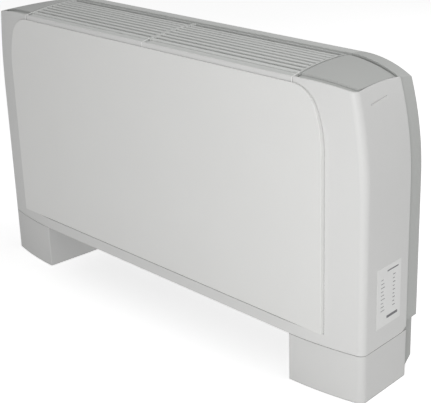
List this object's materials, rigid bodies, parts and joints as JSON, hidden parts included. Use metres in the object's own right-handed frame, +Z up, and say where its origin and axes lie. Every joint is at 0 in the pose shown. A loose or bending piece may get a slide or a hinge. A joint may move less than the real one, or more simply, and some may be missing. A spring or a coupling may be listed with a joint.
{
  "type": "fan convector heater",
  "caption": "Low white floor-standing fan convector cabinet on two feet, with a slatted top outlet, hinged end lids, a water coil and centrifugal fans inside.",
  "frame": {"origin": "centre of the footprint on the floor, midway across the width and the depth", "axes": "+X to the right seen from the front, -Y towards the front, +Z up"},
  "size_m": [1.0188, 0.19, 0.576],
  "materials": {
    "white_coat": "satin powder coat",
    "plate_coat": "satin powder coat",
    "top_plastic": "fine-textured moulding",
    "rear_coat": "satin powder coat",
    "galvanised": "galvanised sheet",
    "foam": "closed-cell foam",
    "fin_aluminium": "bright fin stock",
    "copper": "drawn copper tube",
    "brass": "machined",
    "fan_plastic": "moulded",
    "rotor_plastic": "moulded",
    "steel": "zinc plated",
    "motor_case": "satin enamel",
    "motor_windings": "enamelled copper and steel laminations",
    "bronze": "sintered bronze",
    "filter_plastic": "moulded",
    "filter_cloth": "woven nylon net",
    "control_plastic": "moulded",
    "knob_plastic": "moulded",
    "switch_plastic": "moulded",
    "box_plastic": "moulded",
    "capacitor": "moulded case",
    "cable_sheath": "PVC sheath",
    "black_rubber": "moulded",
    "label_film": "printed film with no text"
  },
  "bodies": {
    "frame": {"air_vent": "brass", "base_panel": "galvanised", "cable_grommet": "black_rubber", "chassis_back": "galvanised", "chassis_side_left": "galvanised", "chassis_side_right": "galvanised", "coil_end_plates": "galvanised", "coil_fins": "fin_aluminium", "coil_tube": "copper", "control_box": "box_plastic", "control_box_lid": "box_plastic", "control_plate": "control_plastic", "drain_spigot": "box_plastic", "drip_tray": "galvanised", "duct_front": "galvanised", "duct_insulation": "foam", "fan_deck": "galvanised", "fan_housing_left": "fan_plastic", "fan_housing_right": "fan_plastic", "filter_rails": "galvanised", "foot_bracket_left": "rear_coat", "foot_bracket_right": "rear_coat", "foot_cover_left": "white_coat", "foot_cover_right": "white_coat", "foot_pads": "black_rubber", "front_cover": "white_coat", "front_plate": "plate_coat", "grille_left": "top_plastic", "grille_right": "top_plastic", "hinge_pin_left": "steel", "hinge_pin_right": "steel", "leg_screws": "steel", "motor_bearings": "bronze", "motor_cable": "cable_sheath", "motor_capacitor": "capacitor", "motor_cradle": "galvanised", "motor_housing": "motor_case", "motor_stator": "motor_windings", "rating_label": "label_film", "rear_rail": "rear_coat", "rear_shell_left": "rear_coat", "rear_shell_right": "rear_coat", "return_pipe": "copper", "return_union": "brass", "shell_screws": "steel", "supply_pipe": "copper", "supply_union": "brass", "terminal_block": "box_plastic"},
    "lid_left_body": {"lid_left": "top_plastic"},
    "lid_right_body": {"lid_right": "top_plastic"},
    "fan_rotor": {"rotor_left": "rotor_plastic", "rotor_right": "rotor_plastic", "motor_shaft": "steel", "motor_armature": "steel"},
    "filter_body": {"filter_frame": "filter_plastic", "filter_mesh": "filter_cloth"},
    "thermostat_knob_body": {"thermostat_knob": "knob_plastic"},
    "speed_knob_body": {"speed_knob": "knob_plastic"},
    "power_switch_body": {"power_switch": "switch_plastic"},
    "vent_screw_body": {"vent_screw": "brass"}
  },
  "joints": [
    {"name": "lid_left_hinge", "type": "hinge", "parent": "frame", "child": "lid_left_body", "pos_m": [-0.389, 0.0415, 0.5703], "axis": [-1, 0, 0], "range_deg": [0, 95]},
    {"name": "lid_right_hinge", "type": "hinge", "parent": "frame", "child": "lid_right_body", "pos_m": [0.389, 0.0415, 0.5703], "axis": [-1, 0, 0], "range_deg": [0, 95]},
    {"name": "fan_spin", "type": "hinge", "parent": "frame", "child": "fan_rotor", "pos_m": [0, -0.0005, 0.19], "axis": [1, 0, 0], "continuous": true},
    {"name": "filter_slide", "type": "slide", "parent": "frame", "child": "filter_body", "axis": [0, -1, 0], "range_m": [0, 0.14]},
    {"name": "thermostat_turn", "type": "hinge", "parent": "frame", "child": "thermostat_knob_body", "pos_m": [0.412, -0.0405, 0.54], "axis": [0, 0, 1], "range_deg": [-135, 135]},
    {"name": "speed_turn", "type": "hinge", "parent": "frame", "child": "speed_knob_body", "pos_m": [0.412, -0.0005, 0.54], "axis": [0, 0, 1], "range_deg": [-90, 0]},
    {"name": "power_rock", "type": "hinge", "parent": "frame", "child": "power_switch_body", "pos_m": [0.45, -0.0205, 0.532], "axis": [1, 0, 0], "range_deg": [-1, 14]},
    {"name": "vent_turn", "type": "hinge", "parent": "frame", "child": "vent_screw_body", "pos_m": [-0.388, 0.04363, 0.51], "axis": [0, 0, 1], "range_deg": [0, 360]}
  ]
}
